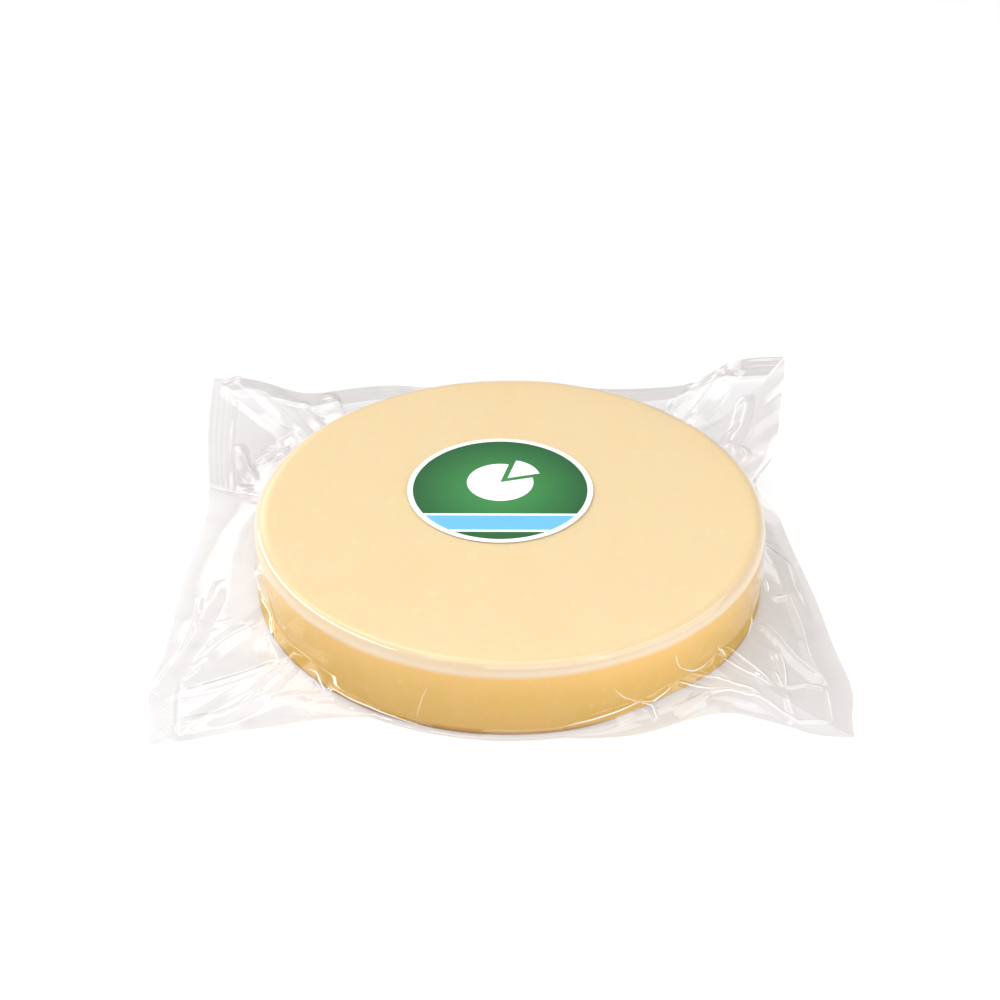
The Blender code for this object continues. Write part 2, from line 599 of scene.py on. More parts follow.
# Sharp creases that the photo shows, each along its own line on the film
FOLDS = (
    # front left corner: the main ridge down the side, then thick folds that fan out of the disc's foot
    Fold(
        ((-68.8, -5.0), (-69.0, -12.7), (-71.2, -21.3), (-72.0, -26.7), (-76.3, -38.2), (-79.4, -46.0)),
        1.3, 2.8, 2.0,
    ),
    Fold(((-72.7, -10.5), (-72.4, -16.2), (-73.0, -22.1), (-74.4, -29.4)), 0.5, 0.9, 0.9),
    Fold(((-60.0, -27.0), (-66.0, -31.0), (-71.5, -38.0)), 0.8, 3.0, 3.5),
    Fold(
        ((-73.4, -46.3), (-69.2, -45.6), (-63.7, -44.2), (-58.4, -42.8), (-51.3, -40.5)),
        0.9, 2.2, 1.2, line=0.4,
    ),
    Fold(
        ((-72.7, -59.1), (-68.0, -57.2), (-62.0, -55.3), (-57.4, -52.0), (-50.1, -44.4), (-45.7, -40.2)),
        2.4, 3.6, 2.0, 0.25, 0.10,
    ),
    Fold(
        ((-70.2, -57.2), (-67.2, -54.1), (-62.5, -49.9), (-58.0, -46.9), (-53.8, -46.8)),
        -0.8, 2.4, 2.4,
    ),
    Fold(
        ((-62.0, -55.9), (-57.4, -53.1), (-52.0, -50.2), (-47.6, -49.2), (-38.7, -49.6)),
        0.9, 1.4, 1.6,
    ),
    Fold(
        ((-73.7, -40.3), (-73.9, -45.6), (-73.6, -50.1), (-72.7, -58.8)),
        -0.4, 0.7, 0.7, 0.1, 0.1,
    ),
    # front right corner: a gather at the foot, with thin ridges towards the sealed corner
    Fold(
        ((48.6, -35.8), (52.6, -39.1), (55.3, -41.5), (59.3, -45.7)),
        1.0, 0.9, 0.9, 0.1, line=0.65,
    ),
    Fold(((47.6, -39.2), (52.5, -42.3), (57.8, -45.0)), 0.7, 0.7, 0.7, 0.1, line=0.52),
    Fold(
        ((40.7, -44.3), (46.2, -44.3), (54.0, -47.0), (59.8, -52.6), (63.4, -55.3)),
        0.9, 0.9, 1.3, 0.1, 0.1, line=0.45,
    ),
    Fold(((37.5, -47.2), (42.2, -46.6), (48.5, -46.3)), 0.8, 0.7, 0.7, 0.15, line=0.52),
    Fold(
        ((39.6, -49.8), (45.1, -47.2), (49.2, -46.7), (55.4, -49.1), (59.8, -52.8)),
        0.7, 0.7, 1.1, line=0.4,
    ),
    Fold(((42.6, -43.0), (46.2, -44.1), (51.4, -46.2)), 0.5, 0.6, 0.6, line=0.25),
    Fold(((60.4, -31.5), (61.7, -38.2), (61.8, -44.9)), 1.1, 0.8, 2.0, line=0.45),
    Fold(((59.3, -39.6), (60.9, -45.0)), 0.6, 0.6, 0.7, line=0.4),
    Fold(
        ((57.8, -24.2), (61.6, -28.9), (65.0, -35.0), (68.1, -38.7), (71.3, -42.6)),
        1.2, 1.0, 2.4, 0.1, 0.1, line=0.4,
    ),
    Fold(((61.8, -45.2), (66.0, -43.2), (70.7, -44.1)), 0.7, 0.7, 0.9, 0.1, 0.1),
    Fold(((61.7, -46.3), (62.3, -52.0), (63.4, -55.0)), 0.7, 0.8, 0.8, line=0.2),
    Fold(((71.1, -44.0), (71.3, -54.9)), 0.5, 0.6, 0.6, 0.05, 0.05, line=0.25),
    Fold(((71.3, -54.9), (68.4, -55.4), (63.4, -55.3)), 0.5, 0.6, 0.6, 0.05, 0.05, line=0.25),
    Fold(((43.2, -47.2), (44.6, -49.4), (46.4, -52.8)), 2.2, 1.0, 8.0, 0.1, 0.1),
    # right side: the seal's long inner line, with a short one that meets it
    Fold(
        ((61.7, -8.8), (65.4, -12.7), (67.5, -20.7), (68.5, -33.9), (71.3, -42.6)),
        0.5, 0.6, 1.6, 0.05, 0.1, line=0.22,
    ),
    Fold(((61.0, -13.9), (62.1, -14.6), (64.7, -12.3)), 0.8, 0.9, 0.9, line=0.4),
    Fold(((61.6, 6.9), (65.4, 2.5), (66.5, -6.0), (68.6, -20.0)), 0.9, 2.2, 3.0),
    # back right ear: slivers that fan from the disc to the edge
    Fold(((42.0, 61.5), (46.5, 69.3), (49.4, 74.2)), 2.2, 5.0, 1.4, 0.05, 0.2),
    Fold(((46.0, 57.0), (50.0, 64.2), (53.8, 70.7), (58.6, 76.2)), 1.7, 3.2, 1.2, 0.05, 0.2),
    Fold(((50.5, 60.5), (54.6, 67.6), (58.9, 75.2)), -0.5, 1.0, 1.0),
    Fold(((55.5, 46.5), (59.4, 54.8), (61.4, 61.6), (62.7, 69.5)), 2.0, 3.6, 1.2, 0.05, 0.2),
    Fold(((56.5, 45.5), (58.6, 48.4), (60.2, 46.6), (59.5, 43.6)), 0.9, 1.3, 1.3),
    Fold(((59.2, 75.0), (61.2, 77.6)), 0.9, 0.9, 0.9),
    # back left: a broad band from the corner to the disc, and folds beside it
    Fold(
        ((-71.8, 74.8), (-69.4, 72.2), (-65.9, 69.6), (-60.6, 64.5), (-55.8, 58.2), (-50.5, 49.5)),
        2.3, 1.3, 6.5, 0.08, 0.10,
    ),
    Fold(
        ((-71.3, 72.7), (-64.3, 69.5), (-58.3, 68.3), (-51.8, 67.1), (-46.6, 64.0)),
        -0.6, 1.6, 1.6,
    ),
    Fold(((-46.5, 75.0), (-43.5, 66.0), (-40.5, 59.0)), 1.5, 1.2, 6.0),
    Fold(((-54.0, 70.5), (-50.5, 63.0), (-46.0, 54.0)), 0.9, 1.2, 2.6),
    Fold(((-68.4, 49.0), (-66.4, 42.2), (-64.5, 37.9), (-62.8, 34.0)), 0.9, 1.1, 2.8),
    Fold(((-63.0, 41.0), (-59.5, 44.5), (-55.5, 46.5)), 0.9, 1.2, 1.2),
    Fold(((-63.5, 47.5), (-59.0, 48.5), (-54.5, 50.0)), -0.7, 1.4, 1.4),
)

# Ridges where the film bridges the disc's wall, with heights above the base too
WALL_FOLDS = (
    Fold(
        ((-57.9, -22.0, 5.4), (-55.9, -28.0, 5.1), (-53.9, -33.3, 4.9), (-51.9, -38.5, 4.6)),
        0.8, 0.8, 0.8, line=0.45,
    ),
    Fold(
        ((-55.2, -23.4, 12.5), (-54.1, -26.4, 9.0), (-52.9, -32.6, 5.2)),
        0.3, 0.9, 1.1, line=0.25,
    ),
    Fold(
        ((-44.6, -42.8, 4.8), (-42.8, -43.9, 4.9), (-41.3, -47.3, 3.9), (-40.5, -48.9, 3.2)),
        0.45, 0.7, 0.7, line=0.45,
    ),
    Fold(
        ((-40.5, -47.4, 4.4), (-35.3, -50.2, 3.4), (-28.6, -53.6, 2.2), (-17.0, -58.6, 1.4)),
        0.6, 0.7, 0.8, line=0.45,
    ),
    Fold(
        ((-17.7, -57.4, 12.0), (-19.0, -57.2, 8.6), (-20.6, -57.6, 3.2)),
        0.35, 0.8, 1.1, line=0.2,
    ),
    Fold(
        ((11.9, -59.0, 2.6), (18.1, -57.6, 3.4), (24.3, -55.4, 4.2), (28.8, -52.9, 4.7)),
        0.8, 0.8, 0.9, line=0.45,
    ),
    Fold(((28.8, -52.9, 4.7), (31.2, -52.3, 3.9), (35.8, -48.3, 5.2)), 0.9, 0.8, 0.9, line=0.52),
    Fold(((22.8, -55.7, 10.4), (25.6, -54.7, 7.0), (28.6, -53.2, 4.8)), 0.5, 0.7, 0.9, line=0.25),
    Fold(((28.8, -53.2, 4.6), (31.2, -53.1, 3.4), (32.7, -55.5, 1.5)), 0.9, 0.8, 0.8, line=0.45),
    Fold(((36.4, -47.7, 14.0), (36.9, -47.3, 11.0), (38.2, -46.2, 8.8)), 0.5, 0.7, 0.9, line=0.25),
    Fold(
        ((38.2, -46.2, 8.8), (40.9, -43.9, 6.9), (46.0, -38.8, 5.8)),
        0.9, 0.8, 0.9, 0.1, line=0.52,
    ),
    Fold(((46.6, -37.7, 8.2), (47.4, -37.4, 6.4), (48.6, -38.4, 5.0)), 0.9, 0.9, 0.9, line=0.65),
    Fold(((56.2, -21.5, 8.0), (55.4, -25.4, 5.8), (54.2, -30.0, 5.2)), 0.7, 0.8, 0.8, line=0.45),
    Fold(((59.4, -10.6, 7.0), (59.9, -13.2, 5.4)), 0.7, 0.8, 0.8, line=0.52),
)


def smooth_path(corners):
    """A nearly straight run between the corners of a path, rounded a little where it turns."""
    steps = 5
    ends = np.vstack((2.0 * corners[0] - corners[1], corners, 2.0 * corners[-1] - corners[-2]))
    found = [corners[0]]
    for a, b, c, d in zip(ends, ends[1:], ends[2:], ends[3:]):
        leave, arrive = BEND * (c - a), BEND * (d - b)
        for u in np.linspace(0.0, 1.0, steps + 1)[1:]:
            ease = u * u * (3.0 - 2.0 * u)
            turn = leave * u * (1.0 - u) ** 2 - arrive * u * u * (1.0 - u)
            found.append(b + (c - b) * ease + turn)
    return np.array(found)


def fold_path(fold, points):
    """The fold's curve in space: places given on plan only take their height from the film."""
    off_disc = np.hypot(points[:, 0], points[:, 1]) >= DISC_RADIUS - 0.01
    path = []
    for place in fold.path:
        if len(place) == 2:
            gap = np.hypot(points[:, 0] - place[0], points[:, 1] - place[1])
            nearest = np.argmin(np.where(off_disc, gap, np.inf))
            place = (*place, points[nearest, 2])
        path.append(place)
    return smooth_path(np.array(path, float))


def path_distance(points, path):
    """For each point: distance to the path, share of the way along it, and which side it lies on."""
    best = np.full(len(points), np.inf)
    share = np.zeros(len(points))
    side = np.ones(len(points))
    lengths = [np.linalg.norm(b - a) for a, b in zip(path, path[1:])]
    whole = sum(lengths)
    done = 0.0
    for a, b, length in zip(path, path[1:], lengths):
        ab = b - a
        u = np.clip(((points - a) @ ab) / (length * length), 0.0, 1.0)
        away = points - (a + u[:, None] * ab)
        distance = np.linalg.norm(away, axis=1)
        nearer = distance < best
        best = np.where(nearer, distance, best)
        share = np.where(nearer, (done + u * length) / whole, share)
        turn = ab[0] * away[:, 1] - ab[1] * away[:, 0]
        side = np.where(nearer, np.sign(turn), side)
        done += length
    return best, share, side


def fold_heights(grid, folds, scale):
    """How far all folds together push each point of the grid along its normal."""
    points = grid.reshape(-1, 3)
    total = np.zeros(len(points))
    for fold in folds:
        path = fold_path(fold, points)
        widest = max(fold.left, fold.right)
        low = path.min(axis=0) - widest
        high = path.max(axis=0) + widest
        near = np.flatnonzero(((points > low) & (points < high)).all(axis=1))
        distance, share, side = path_distance(points[near], path)
        width = np.where(side > 0, fold.left, fold.right)
        crest = CREST + CREST_SHARE * width
        away = np.sqrt(distance * distance + crest**2) - crest
        slope = np.clip(1.0 - away / (width - crest * CREST_SHARE), 0.0, 1.0)
        slope = 0.5 * slope + 0.5 * slope * slope * (3.0 - 2.0 * slope)
        fade = np.clip(share / fold.start, 0.0, 1.0) * np.clip((1.0 - share) / fold.end, 0.0, 1.0)
        total[near] += scale * fold.height * slope * fade**0.7
    return total.reshape(grid.shape[:2])


def crease_ribbons(base, grid, normal, folds):
    """Narrow tapered ribbons of painted highlight along the crests of folds that have a line width, as
    points and faces.
    """
    under, over = base.reshape(-1, 3), grid.reshape(-1, 3)
    out = normal.reshape(-1, 3)
    margin = 5.0 * RIBBON_REACH
    points = []
    faces = []
    for fold in folds:
        if not fold.line:
            continue
        path = fold_path(fold, under)
        low, high = path.min(axis=0) - margin, path.max(axis=0) + margin
        near = np.flatnonzero(((under > low) & (under < high)).all(axis=1))
        middle = []
        upwards = []
        for place in path:
            distance = np.linalg.norm(under[near] - place, axis=1)
            weight = np.exp(-((distance / RIBBON_REACH) ** 2)) + 1e-12
            weight /= weight.sum()
            middle.append(weight @ over[near])
            upwards.append(weight @ out[near])
        middle = np.array(middle)
        upwards = np.array(upwards)
        along = np.gradient(middle, axis=0)
        across = np.cross(upwards, along)
        across /= np.maximum(np.linalg.norm(across, axis=1, keepdims=True), 1e-9)
        share = np.linspace(0.0, 1.0, len(middle))[:, None]
        taper = np.sin(math.pi * np.clip(share, 0.02, 0.98)) ** 0.6
        half = RIBBON_HALF * fold.line * taper
        raised = middle + RIBBON_RAISE * upwards
        first = len(points)
        for left, right in zip(raised - across * half, raised + across * half):
            points += [left * MM, right * MM]
        for step in range(len(middle) - 1):
            at = first + 2 * step
            faces.append([at, at + 1, at + 3, at + 2])
    return points, faces


def scattered_folds(seed, count):
    """Small creases round the disc's foot and over the border, in the directions that pulled film takes.

    They keep off the narrowest stretches of the border, and the widest ones get the most.
    """
    random = np.random.default_rng(seed)
    places = stations(720)
    narrowest, broad = 5.0, 30.0
    shortest = 0.12
    found = []
    while len(found) < count:
        at = random.integers(len(places.angle))
        width = places.radius[at] - DISC_RADIUS
        if width < narrowest or random.random() > width / broad:
            continue
        angle = places.angle[at]
        near, far = np.sort(random.uniform(0.02, 0.86, 2))
        if far - near < shortest:
            continue
        swing = random.normal(0.0, 0.10)
        path = []
        for share in (near, 0.5 * (near + far), far):
            reach = DISC_RADIUS + width * share
            turn = angle + swing * (share - near) + random.normal(0.0, 0.006)
            path.append((reach * math.cos(turn), reach * math.sin(turn)))
        height = random.choice((1.0, 1.0, -0.8)) * random.uniform(0.12, 0.42)
        left, right = random.uniform(0.7, 2.6), random.uniform(0.7, 2.6)
        found.append(Fold(tuple(path), height, left, right, start=0.4, end=0.4))
    return tuple(found)


def foot_pleats(grid, places):
    """Small tents where the film turns from the wall to the border, of uneven width round the disc."""
    height = 0.15
    pleats = 39.0
    reach = np.hypot(grid[..., 0], grid[..., 1])
    width = places.radius - DISC_RADIUS
    share = np.clip((reach - DISC_RADIUS) / width, 0.0, 1.0)
    angle = places.angle[None, :]
    warp = 0.35 * np.sin(5.0 * angle + 0.7) + 0.22 * np.sin(11.0 * angle + 2.1)
    ridges = np.abs(np.sin(0.5 * (pleats * angle + 3.0 * warp + 1.5 * share)))
    strength = 0.55 + 0.45 * np.sin(7.0 * angle + 1.3) * np.sin(3.0 * angle + 0.4)
    up_wall = np.exp(-np.maximum(grid[..., 2] - 5.0, 0.0) / 2.5)
    outwards = np.exp(-share * width / 4.5) * np.minimum(1.0, width / 6.0)
    return height * (1.0 - ridges) ** 1.5 * strength * up_wall * outwards


def seal_relief(grid, places):
    """The groove along the back seal's inner edge, and the fine ribs that the sealing jaws press in."""
    reach = np.hypot(grid[..., 0], grid[..., 1])
    inside = (places.radius - reach) * places.slant
    wide = np.clip(((places.radius - DISC_RADIUS) * places.slant - SEAL_WIDTH) / 3.0, 0.0, 1.0)
    depth, half_width = 0.25, 0.4
    groove = -depth * np.exp(-(((inside - SEAL_WIDTH) / half_width) ** 2))
    within = np.clip((SEAL_WIDTH - 0.6 - inside) / 0.5, 0.0, 1.0) * np.clip(inside / 0.5, 0.0, 1.0)
    ribs = RIB_HEIGHT * np.sin(2.0 * math.pi * inside / RIB_PITCH) * within
    return (groove + ribs) * wide * (places.side == BACK_SIDE)


def jaw_dots(grid, low, high):
    """A patch of small dots that the sealing jaws press into the film, between two corners on plan."""
    pitch = 1.3
    height = 0.05
    x, y = grid[..., 0], grid[..., 1]
    inside = (x > low[0]) & (x < high[0]) & (y > low[1]) & (y < high[1])
    dots = np.sin(2.0 * math.pi * x / pitch) * np.sin(2.0 * math.pi * y / (0.8 * pitch))
    return height * dots * inside


def wander(points, seed, size):
    """A smooth random field of about unit height whose bumps are this many millimetres across."""
    count = 24
    random = np.random.default_rng(seed)
    total = np.zeros(points.shape[:-1])
    for _ in range(count):
        direction = random.normal(size=3)
        direction /= np.linalg.norm(direction)
        wave = 2.0 * math.pi / (size * random.uniform(0.7, 1.6))
        total += np.sin(points @ direction * wave + random.uniform(0.0, 2.0 * math.pi))
    return total / math.sqrt(0.5 * count)


# Meshes


def mesh_from_grid(name, grid, material, centre=None, closed=True, normals=None):
    """A smooth mesh from a grid of points in millimetres.

    A closed one joins its last column to its first. With a centre, its end near the disc's middle is
    filled by a fan of triangles.
    """
    rows, columns = grid.shape[:2]
    points = grid.reshape(-1, 3) * MM
    index = np.arange(rows * columns).reshape(rows, columns)
    ahead = np.roll(index, -1, axis=1)
    if not closed:
        index, ahead = index[:, :-1], ahead[:, :-1]
    quads = np.stack((index[:-1], index[1:], ahead[1:], ahead[:-1]), axis=-1).reshape(-1, 4)
    faces = quads.tolist()
    if centre is not None:
        points = np.vstack((points, np.array(centre)[None] * MM))
        first, beside = (index[0], ahead[0]) if centre[2] > 1.0 else (ahead[-1], index[-1])
        faces += [[len(points) - 1, a, b] for a, b in zip(first.tolist(), beside.tolist())]
    piece = mesh_object(name, points, faces, material)
    if normals is not None:
        shaded = normals.reshape(-1, 3)
        if centre is not None:
            shaded = np.vstack((shaded, ((0.0, 0.0, 1.0),)))
        piece.data.normals_split_custom_set_from_vertices(shaded.tolist())
    return piece


def mesh_object(name, points, faces, material, smooth=True):
    """A mesh in the scene, from points in metres."""
    mesh = bpy.data.meshes.new(name)
    mesh.from_pydata(np.asarray(points).tolist(), [], faces)
    mesh.polygons.foreach_set("use_smooth", [smooth] * len(mesh.polygons))
    mesh.materials.append(material)
    made = bpy.data.objects.new(name, mesh)
    bpy.context.scene.collection.objects.link(made)
    return made


def dress(piece, node):
    """Makes a piece ride on the pack's body, in place of this node of the solid."""
    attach(piece, BODY)
    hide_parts(node)


# Materials


def add_node(tree, kind, inputs=None, **settings):
    """Adds a node, sets its options and fills its inputs with values or with other nodes' outputs."""
    made = tree.nodes.new(kind)
    for name, value in settings.items():
        setattr(made, name, value)
    for name, value in (inputs or {}).items():
        if isinstance(value, bpy.types.NodeSocket):
            tree.links.new(value, made.inputs[name])
        else:
            made.inputs[name].default_value = value
    return made


def new_material(name):
    """An empty material, with its node tree and its output node."""
    material = bpy.data.materials.new(name)
    material.use_nodes = True
    tree = material.node_tree
    tree.nodes.clear()
    return material, tree, tree.nodes.new("ShaderNodeOutputMaterial")


def set_ramp(node, stops):
    """Gives a colour ramp these stops, each a place and a colour."""
    elements = node.color_ramp.elements
    while len(elements) > 1:
        elements.remove(elements[-1])
    elements[0].position, elements[0].color = stops[0]
    for place, colour in stops[1:]:
        elements.new(place).color = colour
    return node


def cast_cheese(settings):
    """Aged pulled-curd cheese, cast in a mould: light sinks in, so it looks soft and faintly waxy.

    Its foot is darkest, which is painted shade, and its rim palest, which is a painted highlight for the
    softboxes' soft reflection on the rounded edge; both have faint clouds and specks of fat.
    """
    material, tree, output = new_material("aged_pulled_curd_cheese")
    place = add_node(tree, "ShaderNodeTexCoord").outputs["Object"]
    height = add_node(tree, "ShaderNodeSeparateXYZ", {"Vector": place}).outputs["Z"]
    up = add_node(
        tree,
        "ShaderNodeMapRange",
        {"Value": height, "From Min": 0.0, "From Max": DISC_HEIGHT * MM},
    ).outputs["Result"]
    # Colour by height, darker towards the bottom: the wall's own golden colour, with painted shade down
    # to the foot and a painted highlight in the pale band round the top edge
    colour_with_painted_light = set_ramp(
        add_node(tree, "ShaderNodeValToRGB", {"Fac": up}),
        (
            # Painted shade: the darkest stop at the very foot, where the disc meets the table
            (0.03, linear("#946220")),
            (0.10, tuple(settings.foot_shade_colour)),
            (0.50, tuple(settings.wall)),
            (0.79, linear("#efc572")),
            # Painted highlight: the pale band round the rounded rim starts here and runs up to the rim
            # colour
            (0.85, linear("#ecdcc2")),
            (0.93, tuple(settings.rim_highlight_colour)),
            (0.985, tuple(settings.top)),
        ),
    ).outputs["Color"]
    clouds = add_node(
        tree,
        "ShaderNodeTexNoise",
        {"Vector": place, "Scale": 1.0 / (CLOUD_SIZE * MM), "Detail": 3.0, "Roughness": 0.55},
    ).outputs["Fac"]
    specks = add_node(
        tree,
        "ShaderNodeTexNoise",
        {"Vector": place, "Scale": 1.0 / (SPECK_SIZE * MM), "Detail": 2.0},
    ).outputs["Fac"]
    cloud_share = add_node(
        tree,
        "ShaderNodeMapRange",
        {"Value": clouds, "From Min": 0.45, "From Max": 0.72, "To Min": 0.0, "To Max": 0.16},
    ).outputs["Result"]
    mottled = add_node(
        tree,
        "ShaderNodeMix",
        {"Factor": cloud_share, 6: colour_with_painted_light, 7: linear("#f0c88c")},
        data_type="RGBA",
    ).outputs[2]
    speck_share = add_node(
        tree,
        "ShaderNodeMapRange",
        {"Value": specks, "From Min": 0.58, "From Max": 0.75, "To Min": 0.0, "To Max": 0.10},
    ).outputs["Result"]
    colour = add_node(
        tree,
        "ShaderNodeMix",
        {"Factor": speck_share, 6: mottled, 7: linear("#fff2d2")},
        data_type="RGBA",
    ).outputs[2]
    bumps = add_node(
        tree, "ShaderNodeBump", {"Height": clouds, "Strength": 0.12, "Distance": 0.6 * MM}
    ).outputs["Normal"]
    fine = add_node(
        tree,
        "ShaderNodeBump",
        {"Height": specks, "Strength": 0.15, "Distance": 0.2 * MM, "Normal": bumps},
    ).outputs["Normal"]
    shader = add_node(
        tree,
        "ShaderNodeBsdfPrincipled",
        {
            "Base Color": colour,
            "Roughness": 0.5,
            "IOR": 1.45,
            "Specular IOR Level": 0.15,
            "Subsurface Weight": 0.35,
            "Subsurface Radius": (1.0, 0.5, 0.2),
            "Subsurface Scale": 4.0 * MM,
            "Normal": fine,
        },
    )
    tree.links.new(shader.outputs[0], output.inputs["Surface"])
    return material


def clear_film(name, tint, gloss, roughness):
    """Blown nylon and polythene laminate: clear head on, and a mirror of the room edge on.

    gloss is 1 for one bare surface. A film has two faces and a little haze, so it is higher.
    """
    material, tree, output = new_material(name)
    least_mirror = 0.04
    facing = add_node(tree, "ShaderNodeLayerWeight", {"Blend": 0.5}).outputs["Facing"]
    steep = add_node(tree, "ShaderNodeMath", {0: facing, 1: 5.0}, operation="POWER").outputs[0]
    mirror = add_node(
        tree,
        "ShaderNodeMath",
        {0: steep, 1: (1.0 - least_mirror) * gloss, 2: least_mirror * gloss},
        operation="MULTIPLY_ADD",
        use_clamp=True,
    ).outputs[0]
    through = add_node(tree, "ShaderNodeBsdfTransparent", {"Color": tuple(tint)}).outputs[0]
    shine = add_node(
        tree,
        "ShaderNodeBsdfGlossy",
        {"Color": (1.0, 1.0, 1.0, 1.0), "Roughness": roughness},
    ).outputs[0]
    shader = add_node(tree, "ShaderNodeMixShader", {0: mirror, 1: through, 2: shine})
    tree.links.new(shader.outputs[0], output.inputs["Surface"])
    return material


def crease_highlight_paint():
    """A painted highlight on the crest of a sharp crease: a faint white line that still lets light
    through.
    """
    material, tree, output = new_material("painted_crease_highlight")
    through = add_node(tree, "ShaderNodeBsdfTransparent").outputs[0]
    highlight_white = add_node(
        tree,
        "ShaderNodeBsdfPrincipled",
        {"Base Color": linear("#fbfbfa"), "Roughness": 0.35},
    ).outputs[0]
    shader = add_node(tree, "ShaderNodeMixShader", {0: 0.75, 1: through, 2: highlight_white})
    tree.links.new(shader.outputs[0], output.inputs["Surface"])
    return material


def even_finish(name, colour, roughness):
    """A smooth finish of one colour: its roughness alone says how sharp its sheen is."""
    material, tree, output = new_material(name)
    shader = add_node(
        tree, "ShaderNodeBsdfPrincipled", {"Base Color": colour, "Roughness": roughness}
    )
    tree.links.new(shader.outputs[0], output.inputs["Surface"])
    return material


def lit_table(settings):
    """A matt white table lit a little from below, so that shadows on it stay faint."""
    material, tree, output = new_material("matt_lit_table")
    shader = add_node(
        tree,
        "ShaderNodeBsdfPrincipled",
        {
            "Base Color": tuple(settings.floor),
            "Roughness": 0.9,
            "Emission Color": (1.0, 1.0, 1.0, 1.0),
            "Emission Strength": settings.table_glow,
        },
    )
    tree.links.new(shader.outputs[0], output.inputs["Surface"])
    return material


def green_ink(settings, middle, radius):
    """Offset ink on coated paper: a satin green that darkens towards the rim of the label."""
    material, tree, output = new_material("offset_green_ink")
    place = add_node(tree, "ShaderNodeTexCoord").outputs["Object"]
    away = add_node(
        tree,
        "ShaderNodeVectorMath",
        {0: place, 1: (middle[0] * MM, middle[1] * MM, DISC_HEIGHT * MM)},
        operation="DISTANCE",
    ).outputs["Value"]
    share = add_node(
        tree, "ShaderNodeMapRange", {"Value": away, "From Max": radius * MM}
    ).outputs["Result"]
    ink = set_ramp(
        add_node(tree, "ShaderNodeValToRGB", {"Fac": share}),
        ((0.10, tuple(settings.green)), (0.95, tuple(settings.dark_green))),
    ).outputs["Color"]
    shader = add_node(tree, "ShaderNodeBsdfPrincipled", {"Base Color": ink, "Roughness": 0.35})
    tree.links.new(shader.outputs[0], output.inputs["Surface"])
    return material


# Shapes printed on the label, as closed outlines round the label's middle


def circle(radius):
    """A full round outline."""
    steps = 144
    angle = 2.0 * math.pi * np.arange(steps) / steps
    return radius * np.stack((np.cos(angle), np.sin(angle)), axis=-1)


def arc(radius, start, end, steps=48):
    """Part of a round outline, between two angles in radians."""
    angle = np.linspace(start, end, steps)
    return radius * np.stack((np.cos(angle), np.sin(angle)), axis=-1)


def chord(radius, top, bottom):
    """A band across the label between two heights, given as shares of its radius."""
    right = arc(radius, math.asin(bottom), math.asin(top))
    left = right[::-1] * (-1.0, 1.0)
    return np.vstack((right, left))


def cut_wheel(radius):
    """A cheese seen from above with a wedge taken out."""
    rim = arc(radius, math.radians(75.0), math.radians(375.0), 120)
    return np.vstack((rim, ((0.0, 0.0),))) + (0.0, 0.35 * radius)


def wedge(radius, shift):
    """The wedge that was taken out of the wheel, pulled a little away from it."""
    middle = math.radians(45.0)
    away = np.array((math.cos(middle), math.sin(middle))) * shift * 1.6
    rim = arc(radius, math.radians(15.0), math.radians(75.0))
    return np.vstack((rim, ((0.0, 0.0),))) + away + (0.0, 0.35 * radius)


def flat_shape(name, outline, bottom, top, material):
    """A thin flat piece with this outline, between two heights in millimetres."""
    count = len(outline)
    over = [(x * MM, y * MM, top * MM) for x, y in outline]
    under = [(x * MM, y * MM, bottom * MM) for x, y in outline]
    faces = [list(range(count))]
    for step in range(count):
        ahead = (step + 1) % count
        faces.append([count + step, count + ahead, ahead, step])
    return mesh_object(name, over + under, faces, material, smooth=False)


# Operators


class PROVOLETA_OT_cheese(bpy.types.Operator):
    """Makes the cheese disc"""

    bl_idname = "provoleta.cheese"
    bl_label = "Make the cheese"

    def execute(self, context):
        settings = context.scene.provoleta_cheese
        inset = settings.inset / MM
        rim = settings.rim / MM
        radius = DISC_RADIUS - inset
        height = DISC_HEIGHT - inset
        angle = np.linspace(0.0, 2.0 * math.pi, 481)[:-1]
        sag = np.exp(-(((angle - SAG_TOWARDS) / SAG_SPREAD) ** 2))
        foot = settings.foot / MM + settings.sag / MM * sag
        level = 0.0 * angle
        rings = [
            (radius * share + level, height + level) for share in (0.02, 0.2, 0.4, 0.6, 0.75, 0.87)
        ]
        for turn in np.linspace(0.0, 0.5 * math.pi, 14):
            rings.append(
                (
                    radius - rim + rim * math.sin(turn) + level,
                    height - rim + rim * math.cos(turn) + level,
                )
            )
        for share in np.linspace(0.0, 1.0, 16)[1:-1]:
            drop = (height - rim) * (1.0 - share) + (foot + CHEESE_LEVEL) * share
            rings.append((radius + level, drop))
        for turn in np.linspace(0.0, 0.5 * math.pi, 12):
            rings.append(
                (
                    radius - foot + foot * math.cos(turn),
                    CHEESE_LEVEL + foot - foot * math.sin(turn),
                )
            )
        rings += [(radius * share + level, CHEESE_LEVEL + level) for share in (0.7, 0.35, 0.05)]
        reach = np.array([ring[0] for ring in rings])
        level = np.array([ring[1] for ring in rings])
        grid = np.stack((reach * np.cos(angle), reach * np.sin(angle), level), axis=-1)
        normal = grid_normals(grid)
        on_wall = np.clip((reach - 0.8 * radius) / (0.2 * radius), 0.0, 1.0)
        broad = wander(grid, seed=11, size=26.0)
        small = wander(grid, seed=12, size=7.0)
        swell = np.minimum(0.10 * broad + 0.03 * small, 0.12)
        above = np.clip((level - 0.5) / 2.0, 0.0, 1.0)
        grid = grid + normal * (swell * above * (0.4 + 0.6 * on_wall))[..., None]
        piece = mesh_from_grid("cheese", grid, cast_cheese(settings))
        dress(piece, POUCH_NODE)
        return {"FINISHED"}


